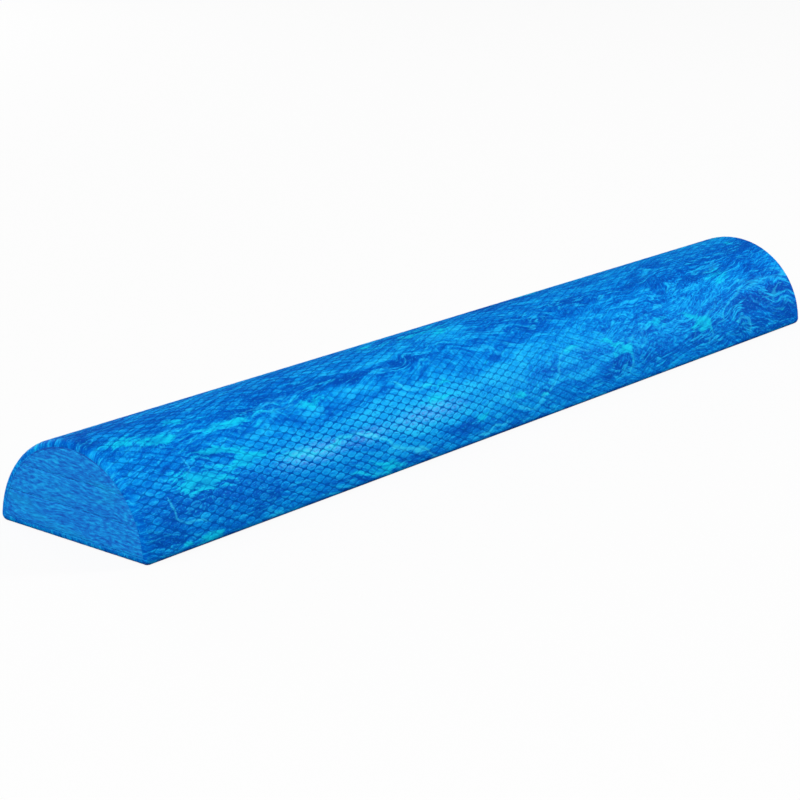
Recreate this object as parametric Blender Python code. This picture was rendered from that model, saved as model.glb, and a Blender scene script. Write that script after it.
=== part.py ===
"""Half round foam roller, built from the foam pieces that are bonded to make it.

Units are metres and +Z is up. The origin is the middle of the flat underside, X runs
along the roller and Y across it. One sheet wraps the dome, a second sheet of the same
stock closes the flat underside between the wrap's feet, and a core of level slabs
fills the inside. Every piece is bonded to its neighbours along a thin glue line.
"""

import math

import bmesh
import bpy

# Overall size: a standard 36 inch roller, half of a 6 inch circle
LENGTH = 0.9144
RADIUS = 0.0762

# Foam stock
SHEET_THICKNESS = 0.006
CORE_SLABS = ("core_slab_lower", "core_slab_middle", "core_slab_upper")
GLUE_LINE = 0.0003

# Softened outer edges
EDGE_ROUND = 0.003
ROUND_STEPS = 4

# Fineness of the arcs, and the length below which two places count as one
ARC_STEP = math.radians(3.0)
SAME_PLACE = 1e-6

# Edges that bend more than this stay sharp in the shading
SHARP_ANGLE = math.radians(35.0)

# Foam colours in linear light, and the finish that all the foam shares
WRAP_BLUE = (0.006, 0.210, 0.660)
BASE_BLUE = (0.005, 0.180, 0.600)
CORE_BLUE = (0.016, 0.215, 0.560)
FOAM_ROUGHNESS = 0.6
FOAM_METALLIC = 0.0


def clear_scene():
    """Removes every object, so that only the roller is left."""
    for obj in list(bpy.data.objects):
        bpy.data.objects.remove(obj, do_unlink=True)


def foam_material(name, colour):
    """A dull foam of one colour."""
    material = bpy.data.materials.new(name)
    material.use_nodes = True
    shader = material.node_tree.nodes["Principled BSDF"]
    shader.inputs["Base Color"].default_value = (*colour, 1.0)
    shader.inputs["Roughness"].default_value = FOAM_ROUGHNESS
    shader.inputs["Metallic"].default_value = FOAM_METALLIC
    return material


def arc(radius, start, end):
    """Points (y, z) of an arc about the middle of the underside, both ends included."""
    steps = max(1, round(abs(end - start) / ARC_STEP))
    angles = [start + (end - start) * step / steps for step in range(steps + 1)]
    return [(radius * math.cos(angle), radius * math.sin(angle)) for angle in angles]


def arch_outline(outer_radius, inner_radius):
    """Outline of a half ring that stands on its two feet."""
    return arc(outer_radius, 0.0, math.pi) + arc(inner_radius, math.pi, 0.0)


def slice_outline(radius, low, high):
    """Outline of the level slice of a half disc between two heights."""
    side = arc(radius, math.asin(low / radius), math.asin(high / radius))
    other_side = [(-y, z) for y, z in reversed(side)]
    if math.isclose(high, radius):
        other_side = other_side[1:]
    return side + other_side


def on_two_outer_faces(edge):
    """Whether an edge is a meeting of two of the roller's outer faces: end, dome, base."""
    first, second = (vertex.co for vertex in edge.verts)
    at_end = abs(first.x - second.x) < SAME_PLACE
    on_base = all(abs(place.z) < SAME_PLACE for place in (first, second))
    on_dome = all(
        abs(math.hypot(place.y, place.z) - RADIUS) < SAME_PLACE
        for place in (first, second)
    )
    return at_end + on_base + on_dome >= 2


def full_length_solid(outline):
    """A mesh of the outline run along the whole roller, its outer edges rounded."""
    builder = bmesh.new()
    near_end = builder.faces.new(
        [builder.verts.new((-LENGTH / 2, y, z)) for y, z in outline]
    )
    run = bmesh.ops.extrude_face_region(builder, geom=[near_end])
    far_vertices = [item for item in run["geom"] if isinstance(item, bmesh.types.BMVert)]
    bmesh.ops.translate(builder, verts=far_vertices, vec=(LENGTH, 0.0, 0.0))
    bmesh.ops.recalc_face_normals(builder, faces=builder.faces[:])
    rounded = [edge for edge in builder.edges if on_two_outer_faces(edge)]
    if rounded:
        bmesh.ops.bevel(
            builder,
            geom=rounded,
            offset=EDGE_ROUND,
            offset_type="OFFSET",
            segments=ROUND_STEPS,
            profile=0.5,
            affect="EDGES",
        )
    return builder


def foam_piece(name, outline, underside, material, parent):
    """Adds one bonded foam piece, its origin in the middle of its own underside."""
    builder = full_length_solid(outline)
    bmesh.ops.translate(builder, verts=builder.verts[:], vec=(0.0, 0.0, -underside))
    mesh = bpy.data.meshes.new(name)
    builder.to_mesh(mesh)
    builder.free()
    mesh.shade_smooth()
    mesh.set_sharp_from_angle(angle=SHARP_ANGLE)
    mesh.materials.append(material)
    piece = bpy.data.objects.new(name, mesh)
    piece.location = (0.0, 0.0, underside)
    piece.parent = parent
    bpy.context.collection.objects.link(piece)


def build_wrap(parent):
    """The embossed sheet over the dome, with a foot along each side."""
    outline = arch_outline(RADIUS, RADIUS - SHEET_THICKNESS)
    foam_piece("wrap", outline, 0.0, foam_material("wrap_foam", WRAP_BLUE), parent)


def build_base_sheet(parent, filled_radius):
    """The sheet under the core, fitted between the wrap's feet."""
    outline = slice_outline(filled_radius, 0.0, SHEET_THICKNESS)
    material = foam_material("base_foam", BASE_BLUE)
    foam_piece("base_sheet", outline, 0.0, material, parent)


def build_core(parent, filled_radius):
    """The level slabs that fill the space under the wrap, all of one thickness."""
    lowest = SHEET_THICKNESS + GLUE_LINE
    pitch = (filled_radius - lowest + GLUE_LINE) / len(CORE_SLABS)
    for index, name in enumerate(CORE_SLABS):
        low = lowest + index * pitch
        high = min(low + pitch - GLUE_LINE, filled_radius)
        outline = slice_outline(filled_radius, low, high)
        foam_piece(name, outline, low, foam_material(name, CORE_BLUE), parent)


def main():
    """Builds the whole roller under one empty at its reference point."""
    clear_scene()
    roller = bpy.data.objects.new("half_round_roller", None)
    bpy.context.collection.objects.link(roller)
    filled_radius = RADIUS - SHEET_THICKNESS - GLUE_LINE
    build_wrap(roller)
    build_base_sheet(roller, filled_radius)
    build_core(roller, filled_radius)


main()
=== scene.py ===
"""Dresses a half round foam roller: marbled, embossed sheets bonded round a slab core.

Lengths are in metres. X runs along the roller, -Y is its front and +Z is up. A place on the
embossed stock is given as the flat sheet had it before it was bent: the length along the
roller and the way round the section. A third value is the relief, negative in a groove,
while the sheet is modelled, and the share of the full relief in the note that its finish
reads.
"""

from __future__ import annotations

import logging
import math
from collections.abc import Mapping, Sequence
from dataclasses import dataclass, replace
from enum import Enum
from typing import Any

import bmesh
import bpy
import numpy as np
from mathutils import Euler, Matrix, Vector, noise
from numpy.typing import NDArray

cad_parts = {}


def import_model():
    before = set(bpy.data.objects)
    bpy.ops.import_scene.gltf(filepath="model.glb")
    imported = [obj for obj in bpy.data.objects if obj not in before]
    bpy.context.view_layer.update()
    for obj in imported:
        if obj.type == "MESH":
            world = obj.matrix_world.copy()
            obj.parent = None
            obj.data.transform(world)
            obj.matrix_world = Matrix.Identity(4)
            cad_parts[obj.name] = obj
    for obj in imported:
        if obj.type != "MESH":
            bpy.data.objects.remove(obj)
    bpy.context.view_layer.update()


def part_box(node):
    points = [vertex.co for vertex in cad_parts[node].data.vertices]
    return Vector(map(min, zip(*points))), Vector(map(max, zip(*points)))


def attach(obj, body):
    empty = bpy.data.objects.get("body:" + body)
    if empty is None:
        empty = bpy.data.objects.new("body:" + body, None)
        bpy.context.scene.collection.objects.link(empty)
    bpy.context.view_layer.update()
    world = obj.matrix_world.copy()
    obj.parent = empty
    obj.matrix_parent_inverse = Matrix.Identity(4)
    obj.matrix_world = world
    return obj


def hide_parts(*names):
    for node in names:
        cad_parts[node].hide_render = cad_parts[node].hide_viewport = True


Array = NDArray[np.float64]
Sheet = bmesh.types.BMesh
Corner = bmesh.types.BMVert
Note = bmesh.types.BMLayerItem
Object = bpy.types.Object
Triple = tuple[float, float, float]
Colour = Triple
Span = tuple[float, float]

MM = 0.001
SHEET_PLACE = "sheet_place"
STIRRED_PLACE = "stirred_place"
PIGMENT_AND_PAINTED_LIGHT = "pigment_and_painted_light"
NEAREST_VEIN = "nearest_vein"
FLAT_PATTERN = "OFBake"
FRONT_END = 118.0
BEYOND_FOOT = 8.0
BACK_SEED = 7
BASE_SEED = 23
TINY = 1e-7
MIDDLE = np.array([0.5, 0.5])

log = logging.getLogger("half_round_roller")


class Slot(Enum):
    """Material slot names; each embossed piece keeps one, which nothing here reads."""

    WRAP = "wrap_foam"
    BASE = "base_foam"
    CORE = "core_foam"


class Axis(Enum):
    """The two directions across a flat sheet."""

    ALONG = 0
    AROUND = 1


@dataclass(frozen=True)
class Clouds:
    """A cloudy noise: clouds to a metre each way, finer layers and the layers' strength."""

    density: Triple
    layers: float = 2.0
    strength: float = 0.5


class Shade:
    """One value in a finish. Arithmetic on it adds the Math nodes that work it out."""

    def __init__(self, tree: FinishTree, socket: bpy.types.NodeSocket) -> None:
        """Wraps an output socket of the tree."""
        self.tree = tree
        self.socket = socket

    def math(self, operation: str, *values: Shade | float) -> Shade:
        """Adds one Math node of this operation on the values, in order."""
        settings = {"operation": operation}
        return self.tree.add("ShaderNodeMath", settings, dict(enumerate(values)))

    def __add__(self, other: Shade | float) -> Shade:
        """Sum."""
        return self.math("ADD", self, other)

    def __radd__(self, other: float) -> Shade:
        """Sum with a number on the left."""
        return self.math("ADD", other, self)

    def __sub__(self, other: Shade | float) -> Shade:
        """Difference."""
        return self.math("SUBTRACT", self, other)

    def __rsub__(self, other: float) -> Shade:
        """Difference from a number on the left."""
        return self.math("SUBTRACT", other, self)

    def __mul__(self, other: Shade | float) -> Shade:
        """Product."""
        return self.math("MULTIPLY", self, other)

    def __rmul__(self, other: float) -> Shade:
        """Product with a number on the left."""
        return self.math("MULTIPLY", other, self)

    def __pow__(self, exponent: float) -> Shade:
        """Power."""
        return self.math("POWER", self, exponent)

    def __abs__(self) -> Shade:
        """Size without sign."""
        return self.math("ABSOLUTE", self)

    def part(self, axis: int) -> Shade:
        """One coordinate of a vector."""
        return self.tree.add("ShaderNodeSeparateXYZ", {}, {0: self}, axis)

    def dot(self, other: Triple) -> Shade:
        """Dot product of this vector and another one."""
        settings = {"operation": "DOT_PRODUCT"}
        return self.tree.add("ShaderNodeVectorMath", settings, {0: self, 1: other}, "Value")

    def fraction(self) -> Shade:
        """What is left above the next lower whole number."""
        return self.math("FRACT", self)

    def step(self, low: float, high: float) -> Shade:
        """Steps smoothly from 0 at one value to 1 at another.

        Args:
            low: where it is still 0.
            high: where it has become 1, which may be the smaller number.

        Returns:
            The step.
        """
        settings = {"interpolation_type": "SMOOTHSTEP"}
        ends = {"From Min": min(low, high), "From Max": max(low, high)}
        to = {"To Min": float(low > high), "To Max": float(low <= high)}
        inputs = {"Value": self, **ends, **to}
        return self.tree.add("ShaderNodeMapRange", settings, inputs)


class FinishTree:
    """The node tree of one finish, or of the studio's light."""

    def __init__(self, owner: bpy.types.Material | bpy.types.World) -> None:
        """Empties the nodes of a new material or world.

        Args:
            owner: what the tree belongs to.
        """
        self.owner = owner
        owner.use_nodes = True
        self.tree = owner.node_tree
        self.tree.nodes.clear()

    @classmethod
    def of_material(cls, name: str) -> FinishTree:
        """Starts a material of that name."""
        return cls(bpy.data.materials.new(name))

    def add(
        self,
        kind: str,
        settings: Mapping[str, Any] | None = None,
        inputs: Mapping[str | int, Any] | None = None,
        output: str | int = 0,
    ) -> Shade | None:
        """Adds a node.

        Args:
            kind: the node's type.
            settings: its own properties; "stops" are a ramp's (place, colour) pairs.
            inputs: a value or a link for each socket, by name or index.
            output: the socket that is returned.

        Returns:
            That output, or nothing where the node has none.
        """
        node = self.tree.nodes.new(kind)
        for name, setting in (settings or {}).items():
            if name == "stops":
                self._set_stops(node.color_ramp, setting)
            else:
                setattr(node, name, setting)
        for name, value in (inputs or {}).items():
            if isinstance(value, Shade):
                self.tree.links.new(value.socket, node.inputs[name])
            else:
                node.inputs[name].default_value = value
        return Shade(self, node.outputs[output]) if node.outputs else None

    @staticmethod
    def _set_stops(
        ramp: bpy.types.ColorRamp, stops: Sequence[tuple[float, Colour]]
    ) -> None:
        """Gives a ramp these stops in place of its own.

        Args:
            ramp: the ramp.
            stops: each stop's place and colour.
        """
        while len(ramp.elements) < len(stops):
            ramp.elements.new(1.0)
        for element, (place, colour) in zip(ramp.elements, stops, strict=True):
            element.position = place
            element.color = (*colour, 1.0)

    def blend(
        self, factor: Shade | float, first: Shade | Colour, second: Shade | Colour
    ) -> Shade:
        """Mixes two colours.

        Args:
            factor: the share of the second one.
            first: a colour, worked out or plain.
            second: another one.

        Returns:
            The mixture.
        """
        ends = [end if isinstance(end, Shade) else (*end, 1.0) for end in (first, second)]
        inputs = {0: factor, 6: ends[0], 7: ends[1]}
        return self.add("ShaderNodeMix", {"data_type": "RGBA"}, inputs, 2)

    def vector(self, operation: str, *values: Any) -> Shade:
        """Adds one Vector Math node on up to three vectors."""
        settings = {"operation": operation}
        return self.add("ShaderNodeVectorMath", settings, dict(enumerate(values)))

    def clouds(
        self, place: Shade, kind: Clouds, shift: Triple = (0.0, 0.0, 0.0), output: int = 0
    ) -> Shade:
        """Reads a cloudy noise.

        Args:
            place: where it is read.
            kind: the noise.
            shift: how far its clouds are moved, so that others lie there.
            output: 0 for one value, 1 for three.

        Returns:
            The noise, from 0 to 1 about a middle of 0.5.
        """
        scaled = self.vector("MULTIPLY_ADD", place, kind.density, shift)
        inputs = {"Vector": scaled, "Detail": kind.layers, "Roughness": kind.strength}
        return self.add("ShaderNodeTexNoise", {}, {"Scale": 1.0, **inputs}, output)

    def bump(self, height: Shade, strength: float, depth: float) -> Shade:
        """A bump of this height, with its strength and its depth in metres."""
        inputs = {"Strength": strength, "Distance": depth, "Height": height}
        return self.add("ShaderNodeBump", {}, inputs)

    def surface(self, shader: Shade) -> bpy.types.Material | bpy.types.World:
        """Sends a shader to the output.

        Args:
            shader: the finished shader.

        Returns:
            The material or world.
        """
        of_world = isinstance(self.owner, bpy.types.World)
        kind = "ShaderNodeOutputWorld" if of_world else "ShaderNodeOutputMaterial"
        self.add(kind, {}, {"Surface": shader})
        return self.owner


@dataclass(frozen=True)
class Blues:
    """The pigments of the marbled foam and the painted shade of its grooves, in linear
    light.
    """

    # Painted shade: the dark blue that the grooves are darkened with.
    groove_shade: Colour = (0.0005, 0.075, 0.400)
    navy: Colour = (0.0005, 0.075, 0.450)
    deep: Colour = (0.0005, 0.122, 0.580)
    mid: Colour = (0.001, 0.208, 0.720)
    light: Colour = (0.003, 0.335, 0.860)
    pale: Colour = (0.014, 0.520, 0.970)
    vein: Colour = (0.032, 0.630, 0.985)
    cyan: Colour = (0.006, 0.640, 0.900)
    turquoise: Colour = (0.003, 0.470, 0.760)


@dataclass(frozen=True)
class Pool:
    """A lens of pigment on the flat sheet.

    Its place and size are in millimetres, along from the left end and around from the
    front lower edge.
    """

    along: float
    around: float
    half_length: float
    half_width: float
    tilt_deg: float = 0.0
    strength: float = 1.0

    def depth(self, along: Array, around: Array) -> Array:
        """Measures how far inside the lens some places lie.

        Args:
            along: each place's way along, in millimetres.
            around: its way round.

        Returns:
            The depth, 1 in the lens's middle, 0 at its edge and less outside.
        """
        tilt = math.radians(self.tilt_deg)
        right, up = along - self.along, around - self.around
        lengthwise = right * math.cos(tilt) + up * math.sin(tilt)
        crosswise = up * math.cos(tilt) - right * math.sin(tilt)
        return 1 - np.hypot(lengthwise / self.half_length, crosswise / self.half_width)


@dataclass(frozen=True)
class Vein:
    """A thin line of pigment on the flat sheet, in millimetres as a pool is."""

    places: tuple[tuple[float, float], ...]
    strength: float = 1.0
    width: float = 1.0

    def offset(self, along: Array, around: Array) -> tuple[Array, Array]:
        """Measures how far some places lie off the line.

        Args:
            along: each place's way along, in millimetres.
            around: its way round.

        Returns:
            How far it lies to one side, in widths of the line, and how far away it is.
        """
        side = np.zeros(along.shape)
        nearest = np.full(along.shape, np.inf)
        for (start_along, start_around), (end_along, end_around) in zip(
            self.places, self.places[1:]
        ):
            run, rise = end_along - start_along, end_around - start_around
            right, up = along - start_along, around - start_around
            share = np.clip((right * run + up * rise) / (run**2 + rise**2), 0.0, 1.0)
            away = np.hypot(right - share * run, up - share * rise)
            cross = (up * run - right * rise) / math.hypot(run, rise)
            side = np.where(away < nearest, np.sign(cross) * away, side)
            nearest = np.minimum(nearest, away)
        return side / self.width, nearest


@dataclass(frozen=True)
class Swirl:
    """A curl stirred into the foam, in millimetres as a pool is."""

    along: float
    around: float
    radius: float
    turn_deg: float

    def stirred(self, places: Array) -> Array:
        """Turns the places near the curl back.

        Args:
            places: the places along and around, one to a row.

        Returns:
            Where the foam at each was.
        """
        offset = places - (self.along, self.around)
        nearness = np.exp(-((offset / self.radius) ** 2).sum(axis=1))
        turn = math.radians(self.turn_deg) * nearness
        right, up = offset.T
        along = right * np.cos(turn) - up * np.sin(turn)
        around = right * np.sin(turn) + up * np.cos(turn)
        return np.column_stack([along, around]) + (self.along, self.around)


@dataclass(frozen=True)
class Waves:
    """Smooth drifts that cross each other, in millimetres."""

    longest: float
    shortest: float
    reach: float
    seed: int
    stretch: float = 2.5
    count: int = 16

    def moved(self, places: Array) -> Array:
        """Moves places by the drifts, further along than around.

        Args:
            places: the places along and around, one to a row.

        Returns:
            The moved places.
        """
        rng = np.random.default_rng(self.seed)
        lengths = np.exp(
            rng.uniform(math.log(self.shortest), math.log(self.longest), self.count)
        )
        heading = rng.uniform(0, 2 * math.pi, self.count)
        waves = np.column_stack([np.cos(heading) / self.stretch, np.sin(heading)])
        waves *= 2 * math.pi / lengths[:, None]
        phase = places @ waves.T + rng.uniform(0, 2 * math.pi, self.count)
        push = rng.uniform(0, 2 * math.pi, self.count)
        pushes = np.column_stack([self.stretch * np.cos(push), np.sin(push)])
        pushes *= (self.reach * lengths / self.longest)[:, None]
        return places + np.sin(phase) @ pushes


@dataclass(frozen=True)
class Marbling:
    """The pigments laid on a sheet, and how the foam was stirred before it was pressed."""

    tones: tuple[Pool, ...]
    pools: tuple[Pool, ...]
    veins: tuple[Vein, ...]
    swirls: tuple[Swirl, ...]
    # The last two are masks: first the band where the lamp's sheen falls, which is glossier
    # and painted lighter; then where the grooves' painted shade is faint and the swirls
    # show more.
    sheen_bands: tuple[Pool, ...] = ()
    faint_grooves: tuple[Pool, ...] = ()
    drift: Waves = Waves(220, 40, 6.0, 5)
    ripple: Waves = Waves(34, 12, 0.9, 9, 1.6)
    wobble: Waves = Waves(26, 9, 1.0, 6, 1.3)
    tone_edge: float = 1.5
    vein_reach: float = 7.0

    def joined(self, other: Marbling) -> Marbling:
        """This marbling and another one on the same sheet."""
        kinds = ("tones", "pools", "veins", "swirls", "sheen_bands", "faint_grooves")
        return Marbling(*(getattr(self, kind) + getattr(other, kind) for kind in kinds))

    def paint(
        self, builder: Sheet, flat: Array, share: Array, length: float
    ) -> None:
        """Notes on each corner of a sheet its flat place, the pigments there and the masks
        of its painted light.

        Args:
            builder: the sheet.
            flat: the flat place of each corner, in metres.
            share: how much of the full relief each corner has.
            length: the roller's length.
        """
        places = flat[:, :2] / MM + (length / 2 / MM, 0.0)
        wobbly = self.wobble.moved(places)
        notes = {
            SHEET_PLACE: np.column_stack([flat[:, :2], share]),
            # The third value is the band where the lamp's sheen falls, glossier and painted
            # lighter in the finish.
            STIRRED_PLACE: np.column_stack(
                [self.stirred(places) * MM, self.cover(self.sheen_bands, places)]
            ),
            # The tone, partly painted shade and highlight, the pools, and how faint the
            # grooves' painted shade is.
            PIGMENT_AND_PAINTED_LIGHT: self.laid(wobbly),
            NEAREST_VEIN: self.nearest_vein(wobbly),
        }
        for name, values in notes.items():
            layer = builder.verts.layers.float_vector.new(name)
            for vertex, value in zip(builder.verts, values, strict=True):
                vertex[layer] = value

    def stirred(self, places: Array) -> Array:
        """Undoes the stirring.

        Args:
            places: the places along and around, in millimetres.

        Returns:
            Where the foam there was before it was stirred.
        """
        for swirl in self.swirls:
            places = swirl.stirred(places)
        return self.ripple.moved(self.drift.moved(places))

    @staticmethod
    def cover(lenses: tuple[Pool, ...], places: Array) -> Array:
        """Works out how strongly some soft edged lenses cover each place.

        Args:
            lenses: the lenses.
            places: the places along and around, in millimetres.

        Returns:
            The strength of the lens that covers each place most.
        """
        cover = np.zeros(len(places))
        for lens in lenses:
            away = 1 - lens.depth(*places.T)
            cover = np.maximum(cover, lens.strength * np.exp(-(away**2)))
        return cover

    def laid(self, places: Array) -> Array:
        """Works out the pigments, and the tones' painted shade and highlight, at some
        places.

        Args:
            places: the places along and around, in millimetres.

        Returns:
            The tone, how far inside a pool each place lies, and how faint the grooves'
            painted shade is.
        """
        tone = np.zeros(len(places))
        for lens in self.tones:
            away = 1 - lens.depth(*places.T)
            tone += lens.strength * np.exp(-self.tone_edge * away**2)
        depth = np.full(len(places), -1.0)
        for pool in self.pools:
            depth = np.maximum(depth, pool.strength * pool.depth(*places.T))
        return np.column_stack([tone, depth, self.cover(self.faint_grooves, places)])

    def nearest_vein(self, places: Array) -> Array:
        """Finds the vein nearest to each place.

        Args:
            places: the places along and around, in millimetres.

        Returns:
            How far the place lies to one side of it, how near it is, and its strength.
        """
        side, away = np.zeros(len(places)), np.full(len(places), np.inf)
        strength = np.zeros(len(places))
        for vein in self.veins:
            vein_side, vein_away = vein.offset(*places.T)
            nearer = vein_away < away
            side = np.where(nearer, vein_side, side)
            strength = np.where(nearer, vein.strength, strength)
            away = np.minimum(away, vein_away)
        nearness = np.clip(1 - away / self.vein_reach, 0.0, 1.0)
        return np.column_stack([side, nearness, strength])


@dataclass(frozen=True)
class Scatter:
    """How thickly pigments are laid by chance, about as they lie on the front of the dome.

    Sizes are in millimetres, and the counts are for each `area` in square millimetres.
    """

    around: Span
    length: float
    area: float = 1e5
    tones: int = 24
    tone_size: tuple[Span, Span] = ((20, 60), (6, 14))
    pools: int = 26
    pool_size: tuple[Span, Span] = ((6, 24), (2, 5.5))
    tilt_deg: float = 7.0
    strength: Span = (0.5, 1.0)
    veins: int = 14
    vein_steps: tuple[int, int] = (3, 7)
    vein_run: Span = (8, 20)
    vein_slope: float = 0.25
    vein_bend: float = 0.3
    vein_straightness: float = 0.6
    vein_strength: Span = (0.6, 1.0)
    swirls: int = 11
    swirl_radius: Span = (9, 18)
    swirl_turn_deg: Span = (40, 90)

    def marbling(self, seed: int) -> Marbling:
        """Draws the pigments.

        Args:
            seed: the draw.

        Returns:
            The marbling.
        """
        rng = np.random.default_rng(seed)
        share = self.length * (self.around[1] - self.around[0]) / self.area
        tones = [self._pool(rng, self.tone_size) for _ in range(round(self.tones * share))]
        pools = [self._pool(rng, self.pool_size) for _ in range(round(self.pools * share))]
        pools = [replace(pool, strength=abs(pool.strength)) for pool in pools]
        veins = [self._vein(rng) for _ in range(round(self.veins * share))]
        swirls = [self._swirl(rng) for _ in range(round(self.swirls * share))]
        return Marbling(tuple(tones), tuple(pools), tuple(veins), tuple(swirls))

    def _place(self, rng: np.random.Generator) -> Span:
        """Draws a place."""
        return rng.uniform(0, self.length), rng.uniform(*self.around)

    def _pool(self, rng: np.random.Generator, size: tuple[Span, Span]) -> Pool:
        """Draws a lens.

        Args:
            rng: where the draws come from.
            size: the least and most of its half length, and of its half width.

        Returns:
            The lens, with a strength below 0 where it is darker.
        """
        place = self._place(rng)
        half_length, half_width = rng.uniform(*size[0]), rng.uniform(*size[1])
        tilt = rng.normal(0, self.tilt_deg)
        strength = rng.choice((-1.0, 1.0)) * rng.uniform(*self.strength)
        return Pool(*place, half_length, half_width, tilt, strength)

    def _vein(self, rng: np.random.Generator) -> Vein:
        """Draws a vein as a walk along the sheet.

        Args:
            rng: where the draws come from.

        Returns:
            The vein.
        """
        walk = [self._place(rng)]
        slope = rng.normal(0, self.vein_slope)
        for _ in range(rng.integers(*self.vein_steps)):
            slope = self.vein_straightness * slope + rng.normal(0, self.vein_bend)
            run = rng.uniform(*self.vein_run)
            walk.append((walk[-1][0] + run, walk[-1][1] + run * slope))
        return Vein(tuple(walk), rng.uniform(*self.vein_strength))

    def _swirl(self, rng: np.random.Generator) -> Swirl:
        """Draws a swirl.

        Args:
            rng: where the draws come from.

        Returns:
            The swirl.
        """
        place, radius = self._place(rng), rng.uniform(*self.swirl_radius)
        turn = rng.choice((-1.0, 1.0)) * rng.uniform(*self.swirl_turn_deg)
        return Swirl(*place, radius, turn)


def pools(*rows: tuple[float, ...]) -> tuple[Pool, ...]:
    """Pools from rows of their values."""
    return tuple(Pool(*row) for row in rows)


def veins(*rows: tuple[Any, ...]) -> tuple[Vein, ...]:
    """Veins from rows of strength, width and places."""
    return tuple(Vein(tuple(places), strength, width) for strength, width, *places in rows)


def swirls(*rows: tuple[float, ...]) -> tuple[Swirl, ...]:
    """Swirls from rows of their values."""
    return tuple(Swirl(*row) for row in rows)


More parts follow.
